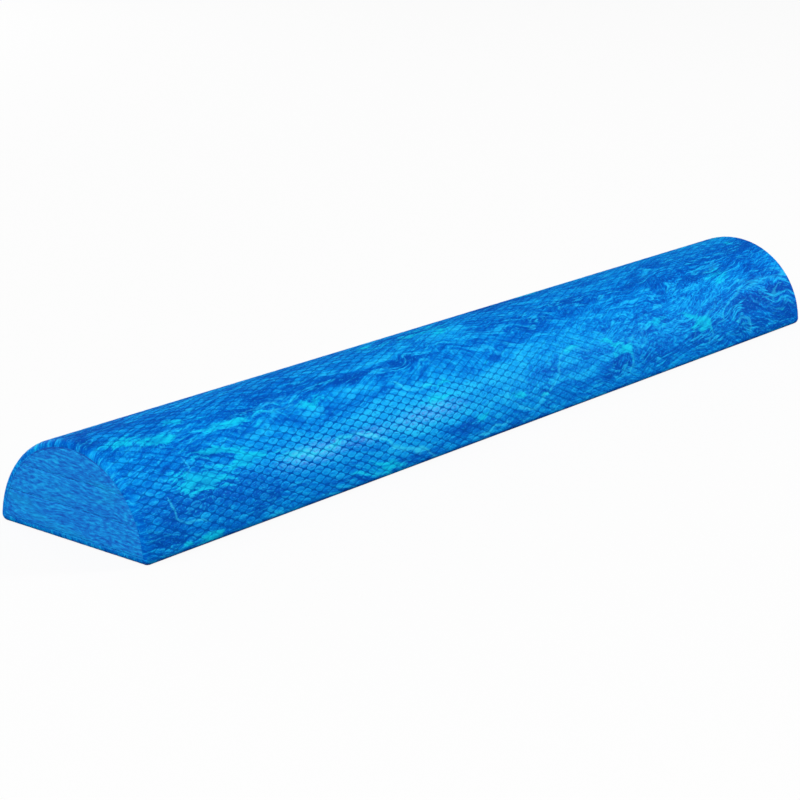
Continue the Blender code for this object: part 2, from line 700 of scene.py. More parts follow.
FRONT_MARBLING = Marbling(
    # Lenses of lighter and darker foam. Besides the foam's own patches, the lighter lenses
    # across the front, about 150 to 450 mm along and 30 to 60 mm round, are partly painted
    # highlight where the right lamp's sheen falls.
    tones=pools(
        (15, 11, 22, 12, 0, -0.8), (48, 61, 12, 5, 0, -0.9), (92, 63, 20, 5, -8, -0.9),
        (130, 19, 45, 8, 0, -0.6), (125, 100, 26, 7, 0, -0.8), (244, 95, 60, 8, -3, -0.9),
        (304, 78, 12, 6, 0, -0.6), (292, 9, 14, 5, 0, -0.7), (342, 92, 22, 9, 0, -1.0),
        (374, 18, 22, 6, 0, -0.9), (438, 7, 20, 4, 0, -0.7), (443, 63, 7, 4, 0, -0.8),
        (466, 73, 22, 6, 10, -0.7), (518, 87, 30, 7, 4, -1.0), (503, 42, 14, 6, 30, -0.6),
        (563, 37, 28, 9, 0, -0.6), (590, 23, 18, 7, 0, -0.9), (588, 101, 26, 7, 4, -0.8),
        (638, 19, 40, 9, 0, -0.6), (695, 94, 34, 9, 0, -0.8), (723, 23, 16, 6, 0, -0.8),
        (742, 114, 16, 8, 0, -1.0), (813, 36, 36, 10, 0, -1.1), (865, 77, 16, 9, 0, -0.9),
        (894, 98, 20, 9, 0, -0.9), (888, 17, 26, 12, 0, -0.8), (60, 31, 40, 12, 0, -0.3),
        (189, 67, 36, 10, 0, 0.3), (269, 53, 40, 12, -4, 0.8), (349, 49, 66, 15, 0, 1.1),
        (289, 59, 50, 8, 0, 0.6), (428, 55, 40, 9, 4, 0.6), (610, 23, 8, 4.5, 0, -0.8),
        (742, 23, 8, 4.5, 0, -0.8), (431, 92, 18, 6, 4, 0.5), (351, 89, 11, 6, 20, 0.4),
        (471, 62, 26, 8, 8, 0.3), (289, 77, 40, 9, 0, 0.45), (359, 29, 45, 8, 0, 0.35),
        (568, 39, 35, 14, 0, 0.45), (498, 53, 40, 8, 0, 0.3), (738, 57, 60, 12, 0, 0.3),
        # (457, -1) on the next line is a dark strip along the whole front foot: painted
        # shade.
        (6, 113, 12, 9, 0, -1.2), (457, -1, 900, 4.5, 0, -1.45), (190, 39, 50, 7, 0, 0.3),
        (219, 16, 90, 7, 0, 0.5), (329, 28, 60, 8, 0, 0.35), (438, 28, 60, 8, 0, 0.5),
        (558, 27, 50, 8, 0, 0.4), (344, 65, 40, 7, 0, 0.55), (398, 17, 90, 6, 0, 0.25),
        (453, 41, 30, 7, 0, 0.25), (453, 97, 26, 9, 0, -0.25), (274, 89, 18, 6, 0, -0.3),
        (154, 89, 22, 6, 0, -0.2), (244, 53, 36, 7, 0, 0.25), (184, 41, 36, 8, 0, 0.25),
        (813, 78, 20, 6, 0, -0.3), (878, 39, 26, 5, -28, -0.7), (878, 52, 32, 4, 0, 1.3),
        (340, 5, 280, 4, 0, 0.32), (695, 3, 50, 5, 0, -0.3), (35, 28, 24, 8, 0, -0.2),
        (428, 98, 60, 10, 0, -0.2), (635, 88, 40, 6, 0, -0.2), (868, 67, 34, 6, 0, -0.55),
        (340, 103, 40, 7, 0, 0.25), (880, 41, 34, 5, 0, -1.3), (275, 76, 20, 5, 0, 0.4),
        (335, 64, 20, 6, 0, 0.3), (695, 29, 24, 6, 0, 0.45), (166, 90, 22, 6, 0, -0.5),
        (275, 88, 24, 5, 0, -0.35), (815, 41, 30, 6, 0, -0.35), (812, 77, 24, 5, 0, -0.3),
        (515, 33, 26, 8, 0, -0.3), (770, 15, 180, 7, 0, -0.25), (275, 90, 30, 6, 0, -0.55),
        (155, 89, 26, 6, 0, -0.65), (812, 78, 30, 6, 0, -0.4), (289, 37, 50, 9, -4, 0.2),
        (60, 51, 60, 8, 0, 0.25), (269, 73, 34, 8, 0, 0.5), (398, 69, 44, 7, 0, 0.5),
        (299, 95, 30, 6, 0, 0.3), (398, 26, 50, 6, 0, 0.25), (374, 39, 26, 7, 0, -0.4),
        (848, 41, 50, 9, 0, -0.35), (783, 83, 50, 8, 0, -0.7), (393, 64, 40, 6, 0, 0.4),
        (448, 51, 44, 6, 0, 0.4), (543, 37, 40, 7, 0, 0.35), (264, 75, 26, 8, 0, 0.35),
        (329, 101, 30, 8, 0, 0.4), (738, 37, 40, 8, 0, -0.05), (848, 99, 70, 10, 0, -0.5),
        (618, 89, 50, 7, 0, -0.3), (513, 43, 22, 6, 0, 0.4), (30, 95, 30, 10, 0, -0.3),
        # (915, 50) on the next line is a dark strip down the right end's bend: painted
        # shade.
        (915, 50, 5, 90, 0, -1.6), (329, 78, 80, 8, 0, 0.55), (334, 99, 36, 9, 0, 0.6),
        (393, 25, 40, 7, 0, 0.35), (558, 25, 36, 8, 0, 0.45), (518, 47, 110, 8, 0, 0.25),
        (783, 81, 36, 7, 0, -0.3), (788, 101, 180, 10, 0, -0.3), (130, 13, 34, 7, 0, -0.35),
        (85, 33, 50, 13, 0, -0.3), (329, 95, 12, 7, 0, -0.6), (878, 31, 60, 26, 0, -0.5),
        (758, 25, 80, 14, 0, -0.25), (40, 33, 60, 14, 0, -0.35),
        (878, 101, 60, 14, 0, -0.3), (598, 99, 220, 12, 0, -0.15),
        (518, 53, 50, 10, 0, 0.45), (179, 47, 60, 14, 0, 0.25), (269, 81, 40, 8, 0, 0.3),
        (299, 35, 40, 9, -6, 0.8), (393, 33, 36, 8, 6, 0.2), (418, 43, 30, 9, 0, 0.4),
        (423, 107, 44, 9, 20, 0.8), (473, 61, 30, 8, 10, 0.6), (538, 65, 60, 10, 4, 0.6),
        (658, 75, 60, 10, 0, 0.6), (698, 55, 50, 9, 0, 0.4), (798, 73, 40, 8, 4, 0.35),
        (20, 97, 20, 8, 0, 0.4), (90, 93, 40, 8, 0, 0.4),
    ),
    pools=pools(
        (70, 47, 33, 9, -3, 1.35), (121, 51, 25, 5, 5, 1.2), (99, 64, 29, 4.5, -12, 1.1),
        (58, 89, 17, 5.5, -2, 1.1), (128, 84, 23, 5, -4, 0.3), (27, 99, 13, 4.5, 5, 0.6),
        (86, 103, 13, 4.5, -10, 0.9), (217, 79, 16, 3.5, 0, 0.55),
        (172, 43, 18, 3.6, -8, 0.8), (224, 42, 22, 3, 4, 0.7), (41, 8, 8, 2.5, -20, 0.9),
        (68, 6, 12, 4.5, 0, 0.9), (243, 12, 12, 3, 0, 0.2), (269, 9, 18, 4.5, -8, 0.6),
        (261, 35, 11, 2.2, -35, 0.6), (349, 59, 18, 3, 0, 0.7), (346, 48, 14, 3, 0, 0.6),
        (424, 62, 7, 2, 0, 0.8), (422, 114, 14, 5, 10, 0.9), (535, 52, 13, 3, -6, 0.8),
        (446, 29, 9, 5, 0, 1.2), (392, 21, 9, 3, 0, 0.7), (484, 22, 8, 2.5, 0, 0.7),
        (609, 34, 13, 5.5, -6, 1.0), (597, 30, 8, 3.4, 20, 0.8), (618, 30, 5, 5, 0, 0.9),
        (595, 44, 17, 2.6, -18, 0.8), (742, 34, 14, 6, -4, 1.25),
        (729, 31, 8, 3.2, 20, 0.7), (751, 30, 5, 5, 0, 0.9), (724, 45, 18, 3, -16, 0.9),
        (675, 49, 15, 3.4, 0, 0.5), (804, 74, 15, 5, 4, 0.4), (881, 22, 8, 2.4, 0, 0.7),
        (885, 113, 8, 3, 0, 0.7),
    ),
    veins=veins(
        (0.75, 1.2, (33, 39), (34, 31), (34, 26), (43, 21), (60, 18)),
        (0.5, 1.6, (62, 67), (64, 59), (62, 54)),
        (0.3, 2.2, (156, 48), (174, 42), (197, 36), (216, 41), (239, 43)),
        (1.0, 1.6, (239, 43), (256, 37), (266, 31), (286, 19), (304, 13), (314, 11),
         (324, 5)),
        (0.35, 1.2, (154, 89), (177, 92), (201, 91)),
        (0.35, 1.2, (166, 82), (199, 83)),
        (0.8, 1.3, (311, 71), (319, 65), (331, 61), (349, 59)),
        (0.5, 1.5, (525, 54), (543, 50), (560, 44)),
        (0.55, 1.4, (433, 33), (438, 23), (448, 16), (461, 14), (478, 18), (498, 28),
         (510, 39), (520, 49)),
        (0.4, 1.3, (438, 37), (446, 43), (458, 41), (464, 33), (458, 26)),
        (0.7, 1.2, (386, 8), (398, 6), (410, 10), (423, 11)),
        (0.29, 1.5, (619, 38), (630, 44)),
        (0.38, 1.7, (619, 28), (618, 22), (612, 15)),
        (0.29, 1.6, (752, 38), (763, 44), (776, 49)),
        (0.48, 1.8, (752, 28), (751, 22), (745, 15)),
        (0.26, 1.4, (729, 27), (722, 23)),
        (0.54, 1.2, (766, 27), (783, 38), (798, 46), (815, 51), (833, 52), (844, 49)),
        (0.22, 1.4, (836, 43), (842, 36), (848, 31)),
        (0.26, 1.4, (855, 26), (864, 28), (870, 32)),
        (0.48, 2.2, (828, 62), (848, 56), (866, 54), (883, 55), (910, 54)),
        (0.26, 2.2, (791, 79), (804, 83), (818, 87)),
        (0.54, 1.7, (801, 27), (813, 26), (818, 22), (819, 13)),
        (0.45, 1.2, (855, 36), (864, 37), (873, 37), (891, 44)),
        (0.29, 1.6, (866, 19), (876, 21), (884, 22)),
        (0.32, 1.4, (641, 42), (648, 45), (662, 49)),
        (0.19, 1.6, (628, 30), (638, 34), (648, 38)),
    ),
    swirls=swirls(
        (882, 39, 20, -32), (453, 33, 14, 40), (342, 92, 14, -30), (816, 29, 14, 35),
        (50, 59, 11, -25), (184, 87, 14, 25), (658, 89, 16, 20), (868, 83, 13, 30),
    ),
    # The band where the right lamp's sheen falls: glossier, and painted lighter with darker
    # grooves, which is painted highlight and painted shade.
    sheen_bands=pools(
        (189, 38, 90, 21, 0, 1.0), (252, 38, 70, 18, 0, 0.92), (328, 38, 115, 20, 0, 0.95),
        (438, 42, 80, 16, 0, 0.45), (90, 32, 60, 19, 0, 0.75), (558, 41, 60, 22, 0, 0.35),
    ),
    # Where the grooves' painted shade is faint, drawn as lines one way, and the swirls show
    # more.
    faint_grooves=pools(
        (150, 87, 130, 15, 0, 0.75), (330, 88, 80, 16, 0, 0.8), (440, 76, 60, 12, 8, 0.7),
        (768, 61, 270, 90, 0, 1.0), (598, 101, 180, 24, 0, 0.8), (418, 101, 90, 18, 0, 0.8),
    ),
)


@dataclass(frozen=True)
class Marks:
    """What the diamonds give at each place of a sheet, and two masks that place its painted
    light.

    rim is how far out from its diamond's middle the place lies, 1 in the grooves' middle.
    hatch is the same for grooves drawn as lines one way, where their painted shade is
    faint.
    strokes are smears that lie with those lines. chance is drawn for each diamond. The last
    two say how far the place lies in the band where the lamp's sheen falls, which is
    glossier and painted lighter, and how faint the painted shade of the grooves is there.
    """

    rim: Shade
    hatch: Shade
    strokes: Shade
    chance: Shade
    sheen_band: Shade
    faint_grooves: Shade


@dataclass(frozen=True)
class Weight:
    """How much something shows, with more in the band of the lamp's sheen and more where
    the grooves' painted shade is faint.
    """

    plain: float = 0.0
    in_sheen_band: float = 0.0
    faint_grooves: float = 0.0

    def at(self, marks: Marks) -> Shade:
        """The weight at each place."""
        return marks.sheen_band * self.in_sheen_band + marks.faint_grooves * self.faint_grooves + self.plain


class Grain(Enum):
    """The noises of the marbled skin; the smears are measured in diamonds."""

    LEAN = Clouds((12, 28, 0), 1.0)
    SMEAR_ONE_WAY = Clouds((3.2, 0.6, 0), 2.0, 0.6)
    SMEAR_OTHER_WAY = Clouds((0.6, 3.2, 0), 2.0, 0.6)
    FLOW = Clouds((8, 48, 0), 3.0, 0.55)
    CLOUD = Clouds((22, 100, 0), 3.0, 0.55)
    STRAND = Clouds((18, 160, 0), 4.0, 0.6)
    SILK = Clouds((50, 360, 0), 3.0, 0.6)
    FLECK = Clouds((320, 900, 0), 2.0, 0.6)
    CURL = Clouds((150, 380, 0), 3.0, 0.65)
    EDDY = Clouds((34, 85, 0), 2.0, 0.55)
    GRIT = Clouds((900, 900, 0), 2.0)
    PORES = Clouds((2600, 2600, 0), 1.0)


class SawnGrain(Enum):
    """The noises of the sawn ends, by the place in the roller."""

    DRIFT = Clouds((18, 18, 30))
    LAYERS = Clouds((26, 26, 150), 3.0, 0.55)
    THREADS = Clouds((140, 140, 640), 4.0, 0.65)
    POOLS = Clouds((20, 20, 70), 4.0, 0.6)
    CELLS = Clouds((1500, 1500, 1500))


@dataclass(frozen=True)
class FoamFinish:
    """What the finishes of the pressed skin and of the sawn ends share."""

    name: str
    blues: Blues

    def tinted(self, level: Shade, stops: tuple[float, ...]) -> Shade:
        """Turns a level into a blue.

        Args:
            level: the level, higher where the foam is paler.
            stops: the levels of navy, deep, mid, light and pale.

        Returns:
            The colour.
        """
        blues = self.blues
        colours = (blues.navy, blues.deep, blues.mid, blues.light, blues.pale)
        settings = {"stops": tuple(zip(stops, colours, strict=True))}
        return level.tree.add("ShaderNodeValToRGB", settings, {"Fac": level})


@dataclass(frozen=True)
class MarbledFoam(FoamFinish):
    """The skin of the embossed sheets: pigments drawn out along the roller in swirls.

    The weights say how much each thing changes the level, or covers what lies under it.
    """

    embossing: Embossing
    seed: float = 0.0
    stops: tuple[float, ...] = (0.22, 0.38, 0.50, 0.62, 0.82)
    # Each weight's second value acts in the sheen band, where the level is higher, a
    # painted highlight, and the mottling calmer; the third acts where the grooves' painted
    # shade is faint.
    middle: Weight = Weight(0.475, 0.05)
    flow: Weight = Weight(0.5)
    laid: Weight = Weight(0.22)
    strand: Weight = Weight(0.62, -0.341)
    silk: Weight = Weight(0.6, -0.33)
    strokes: Weight = Weight(0.4, -0.25, -0.05)
    curls: Weight = Weight(faint_grooves=0.55)
    curves: Weight = Weight(faint_grooves=0.2)
    cells: Weight = Weight(0.14, -0.06, -0.1)
    # Lighter toward each diamond's rim, only in the sheen band.
    rims: Weight = Weight(in_sheen_band=0.09)
    loose: Weight = Weight(1.0, -0.55)
    filaments: Weight = Weight(0.6, faint_grooves=0.3)
    pale_flecks: Weight = Weight(0.4, 0.2)
    navy_flecks: Weight = Weight(0.35, 0.3)
    # Painted shade: how strongly the grooves take the groove blue.
    grooves: Weight = Weight(0.78, 0.2, -0.48)

    cell_roundness: float = 3.0
    corner_trim: float = 0.9
    cell_rim: Span = (0.2, 0.75)
    groove_edge: Span = (0.84, 1.01)
    hatch_edge: Span = (0.7, 1.0)
    lean_height: float = 44 * MM
    lean_rate: float = 6.0
    lean_slope_from: float = -0.2
    lean_slope: float = 0.12
    lean_edge: Span = (0.4, 0.6)

    eddy_turns: Span = (11.0, 0.7)
    curve_edge: Span = (0.24, 0.04)
    curve_mean: float = 0.3
    cloud_turns: Span = (4.0, 0.6)
    filament_edge: Span = (0.18, 0.05)
    filament_silk: Span = (0.4, 0.58)
    filament_strand: Span = (0.38, 0.52)
    pale_fleck_edge: Span = (0.54, 0.68)
    navy_fleck_edge: Span = (0.47, 0.34)

    pool_ragged: Triple = (1.8, 2.2, 1.2)
    pool_edge: Span = (-0.2, 0.55)
    pool_tint_edge: Span = (0.3, 0.6)
    pool_strand: Span = (0.35, 0.6)
    pool_cover: float = 0.48
    pool_cover_on_strand: float = 0.36
    pool_over_groove: float = 0.4
    vein_ragged: float = 2.6
    vein_edge: Span = (1.5, 0.1)
    vein_end: Span = (0.1, 0.4)
    vein_strand: Span = (0.36, 0.56)
    vein_off_strand: float = 0.4
    vein_cover: float = 0.85
    vein_over_groove: float = 1.6

    roughness: float = 0.5
    grit_roughness: float = 0.1
    groove_roughness: float = 0.3
    bump_strength: float = 0.25
    bump_depth: float = 0.12 * MM
    specular: float = 0.01
    sheen: float = 0.075
    sheen_band_edge: Span = (0.7, 1.0)
    sheen_roughness: float = 0.28

    def material(self) -> bpy.types.Material:
        """Builds the finish.

        Returns:
            The material, which reads the flat place, the pigments and the painted light
            noted at each point.
        """
        tree = FinishTree.of_material(self.name)
        names = (SHEET_PLACE, STIRRED_PLACE, PIGMENT_AND_PAINTED_LIGHT)
        place, stirred, laid = (self._note(tree, name) for name in names)
        marks = self._marks(place, stirred.part(2), laid.part(2))
        # Painted shade: the grooves, drawn as lines one way where they are faint, are
        # darkened with the groove blue.
        crossed = marks.rim.step(*self.groove_edge)
        groove_shade = crossed * (1.0 - marks.faint_grooves) + marks.hatch * marks.faint_grooves
        groove_shade = groove_shade * place.part(2)
        colour, pigment = self._marbled(stirred, laid, marks)
        weight = groove_shade * self.grooves.at(marks) * (1.0 - pigment * self.pool_over_groove)
        grit, pores = (self._grain(place, kind) for kind in (Grain.GRIT, Grain.PORES))
        roughness = self.roughness + grit * self.grit_roughness
        # Real gloss: the sheen band gets a clear coat, less in the grooves.
        in_sheen_band = marks.sheen_band.step(*self.sheen_band_edge)
        inputs = {
            "Base Color": tree.blend(weight, colour, self.blues.groove_shade),
            "Roughness": roughness + groove_shade * self.groove_roughness,
            "Normal": tree.bump((grit + pores) * 0.5, self.bump_strength, self.bump_depth),
            "Specular IOR Level": self.specular,
            "Coat Weight": in_sheen_band * (self.sheen - groove_shade * self.sheen),
            "Coat Roughness": self.sheen_roughness,
        }
        return tree.surface(tree.add("ShaderNodeBsdfPrincipled", {}, inputs))

    @staticmethod
    def _note(tree: FinishTree, name: str) -> Shade:
        """One of the vectors noted on the sheet."""
        return tree.add("ShaderNodeAttribute", {"attribute_name": name}, output="Vector")

    def _grain(self, place: Shade, kind: Grain) -> Shade:
        """One of the noises, drawn by the seed."""
        return place.tree.clouds(place, kind.value, (0.0, 0.0, self.seed))

    def _marks(self, place: Shade, sheen_band: Shade, faint_grooves: Shade) -> Marks:
        """Finds a place in its own diamond.

        Args:
            place: the flat place.
            sheen_band: how far the place lies in the band where the lamp's sheen falls.
            faint_grooves: how faint the painted shade of the grooves is there.

        Returns:
            What the diamonds give there, with the masks of the sheen band and of the faint
            groove shade.
        """
        tree = place.tree
        origin, steps = self.embossing.lattice()
        unit = np.linalg.inv(steps)
        from_origin = tree.vector("SUBTRACT", place, (*origin, 0.0))
        across = [from_origin.dot((*unit[:, k], 0.0)) for k in range(2)]
        off = [step.fraction() - 0.5 for step in across]
        lines = [(abs(step) * 2.0).step(*self.hatch_edge) for step in off]
        skewed = tree.add("ShaderNodeCombineXYZ", {}, dict(enumerate(across)))
        ways = (Grain.SMEAR_ONE_WAY, Grain.SMEAR_OTHER_WAY)
        smears = [tree.clouds(skewed, way.value) for way in ways]
        lean = self._lean(place)
        hatch, strokes = (
            one * lean + other * (1.0 - lean) for one, other in (lines, smears)
        )
        middles = [step - step.fraction() + 0.5 for step in across]
        cell = tree.add("ShaderNodeCombineXYZ", {}, dict(enumerate(middles)))
        settings = {"noise_dimensions": "2D"}
        chance = tree.add("ShaderNodeTexWhiteNoise", settings, {"Vector": cell})
        return Marks(self._rim(*off), hatch, strokes, chance, sheen_band, faint_grooves)

    def _rim(self, one: Shade, other: Shade) -> Shade:
        """Measures how far out from its diamond's middle a place lies.

        Args:
            one: its share of the way along one side of the diamond, 0 in the middle.
            other: the same along the other side.

        Returns:
            The measure, 1 in the middle of a groove.
        """
        roundness, trim = self.cell_roundness, self.corner_trim
        sides = (abs(one) * 2.0) ** roundness + (abs(other) * 2.0) ** roundness
        corner = abs(one + other) ** roundness * trim
        at_side = 1.0 + trim * 0.5**roundness
        return ((sides + corner) * (1.0 / at_side)) ** (1.0 / roundness)

    def _lean(self, place: Shade) -> Shade:
        """Finds which way the lines of the grooves' painted shade, and the smears with
        them, run.

        Args:
            place: the flat place.

        Returns:
            1 for one way, 0 for the other.
        """
        beyond = place.part(0) - self.lean_slope_from
        slope = beyond.math("MINIMUM", beyond, 0.0) * self.lean_slope
        higher = (place.part(1) + slope - self.lean_height) * self.lean_rate
        return (self._grain(place, Grain.LEAN) + higher).step(*self.lean_edge)

    def _marbled(self, place: Shade, laid: Shade, marks: Marks) -> tuple[Shade, Shade]:
        """Mixes the pigments and the painted light of the tones and the sheen band, before
        the grooves' painted shade darkens them.

        Args:
            place: where the foam was before it was stirred.
            laid: the pigments laid there.
            marks: what pressing and wear leave there.

        Returns:
            The colour, and where it is a pool or a vein.
        """
        kinds = (Grain.FLOW, Grain.CLOUD, Grain.STRAND, Grain.SILK)
        kinds += (Grain.FLECK, Grain.CURL, Grain.EDDY)
        grains = {kind: self._grain(place, kind) for kind in kinds}
        colour = self.tinted(self._level(grains, laid.part(0), marks), self.stops)
        colour = self._streaked(colour, grains, marks)
        return self._pooled(colour, grains, laid.part(1))

    @staticmethod
    def _off_ring(cloud: Shade, ripple: Shade, turns: Span) -> Shade:
        """How far each place lies off the middle between two rings round the clouds."""
        return abs((cloud * turns[0] + ripple * turns[1]).fraction() - 0.5)

    def _level(self, grains: Mapping[Grain, Shade], tone: Shade, marks: Marks) -> Shade:
        """Works out how pale the foam is, with the tones' painted shade and highlight and
        the sheen band's painted highlight.

        Args:
            grains: the noises.
            tone: the tone laid there, partly painted shade and highlight.
            marks: what pressing and wear leave there.

        Returns:
            The level.
        """
        curl = grains[Grain.CURL]
        curve = self._off_ring(grains[Grain.EDDY], curl, self.eddy_turns)
        changes = (
            (grains[Grain.FLOW] - 0.5, self.flow),
            (tone, self.laid),
            (grains[Grain.STRAND] - 0.5, self.strand),
            (grains[Grain.SILK] - 0.5, self.silk),
            (marks.strokes - 0.5, self.strokes),
            (curl - 0.5, self.curls),
            (curve.step(*self.curve_edge) - self.curve_mean, self.curves),
            (marks.chance - 0.5, self.cells),
            (marks.rim.step(*self.cell_rim), self.rims),
        )
        level = self.middle.at(marks)
        for change, weight in changes:
            level = level + change * weight.at(marks)
        return level

    def _streaked(
        self, colour: Shade, grains: Mapping[Grain, Shade], marks: Marks
    ) -> Shade:
        """Draws filaments and flecks over the foam.

        Args:
            colour: the foam's colour.
            grains: the noises.
            marks: what pressing and wear leave there.

        Returns:
            The colour with them.
        """
        silk, fleck = grains[Grain.SILK], grains[Grain.FLECK]
        ring = self._off_ring(grains[Grain.CLOUD], silk, self.cloud_turns)
        filament = ring.step(*self.filament_edge) * silk.step(*self.filament_silk)
        filament = filament * grains[Grain.STRAND].step(*self.filament_strand)
        filament = filament * self.loose.at(marks) * self.filaments.at(marks)
        pale = fleck.step(*self.pale_fleck_edge) * self.pale_flecks.at(marks)
        navy = fleck.step(*self.navy_fleck_edge) * self.navy_flecks.at(marks)
        tree = colour.tree
        for cover in (filament, pale):
            colour = tree.blend(cover, colour, self.blues.pale)
        return tree.blend(navy, colour, self.blues.navy)

    def _pooled(
        self, colour: Shade, grains: Mapping[Grain, Shade], depth: Shade
    ) -> tuple[Shade, Shade]:
        """Lays the pools and veins over the foam.

        Args:
            colour: the foam's colour.
            grains: the noises.
            depth: how far inside a pool each place lies.

        Returns:
            The colour with them, and where they are.
        """
        tree, blues = colour.tree, self.blues
        silk, strand = grains[Grain.SILK], grains[Grain.STRAND]
        edges = (strand, silk, grains[Grain.FLECK])
        for grain, ragged in zip(edges, self.pool_ragged, strict=True):
            depth = depth + (grain - 0.5) * ragged
        pool = depth.step(*self.pool_edge)
        tint = tree.blend(silk.step(*self.pool_tint_edge), blues.turquoise, blues.cyan)
        on_strand = self.pool_cover_on_strand * strand.step(*self.pool_strand)
        colour = tree.blend(pool * (self.pool_cover + on_strand), colour, tint)

        vein = self._note(tree, NEAREST_VEIN)
        line = abs(vein.part(0) + (silk - 0.5) * self.vein_ragged)
        line = line.step(*self.vein_edge) * vein.part(1).step(*self.vein_end)
        on_strand = (1.0 - self.vein_off_strand) * strand.step(*self.vein_strand)
        line = line * vein.part(2) * (self.vein_off_strand + on_strand)
        colour = tree.blend(line * self.vein_cover, colour, blues.vein)
        return colour, pool.math("MAXIMUM", pool, line * self.vein_over_groove)


@dataclass(frozen=True)
class CutFoam(FoamFinish):
    """The sawn ends: pigments that lie level, as the foam was pressed."""

    tone: float = 0.55
    drop_at_top: float = 0.0
    top: Span = (54 * MM, 68 * MM)
    stops: tuple[float, ...] = (0.22, 0.38, 0.54, 0.68, 0.90)
    drift: Triple = (0.0, 0.03, 0.010)
    layers: float = 0.36
    threads: float = 1.45
    pool_edge: Span = (0.5, 0.7)
    pool_cover: float = 0.22
    bump_strength: float = 0.35
    bump_depth: float = 0.2 * MM
    roughness: float = 0.55
    cell_roughness: float = 0.15
    specular: float = 0.25

    def material(self) -> bpy.types.Material:
        """Builds the finish.

        Returns:
            The material, which reads each point's own place in the roller.
        """
        tree = FinishTree.of_material(self.name)
        place = tree.add("ShaderNodeTexCoord", {}, output="Object")
        cloud = tree.clouds(place, SawnGrain.DRIFT.value, output=1)
        shift = tree.vector("SUBTRACT", cloud, (0.5, 0.5, 0.5))
        drifted = tree.vector("MULTIPLY_ADD", shift, self.drift, place)
        kinds = (SawnGrain.LAYERS, SawnGrain.THREADS, SawnGrain.POOLS)
        layers, threads, pool = (tree.clouds(drifted, kind.value) for kind in kinds)
        level = self.tone + (layers - 0.5) * self.layers + (threads - 0.5) * self.threads
        level = level - place.part(2).step(*self.top) * self.drop_at_top
        colour = self.tinted(level, self.stops)
        cover = pool.step(*self.pool_edge) * self.pool_cover
        cells = tree.clouds(place, SawnGrain.CELLS.value)
        inputs = {
            "Base Color": tree.blend(cover, colour, self.blues.turquoise),
            "Roughness": self.roughness + cells * self.cell_roughness,
            "Normal": tree.bump(cells, self.bump_strength, self.bump_depth),
            "Specular IOR Level": self.specular,
        }
        return tree.surface(tree.add("ShaderNodeBsdfPrincipled", {}, inputs))


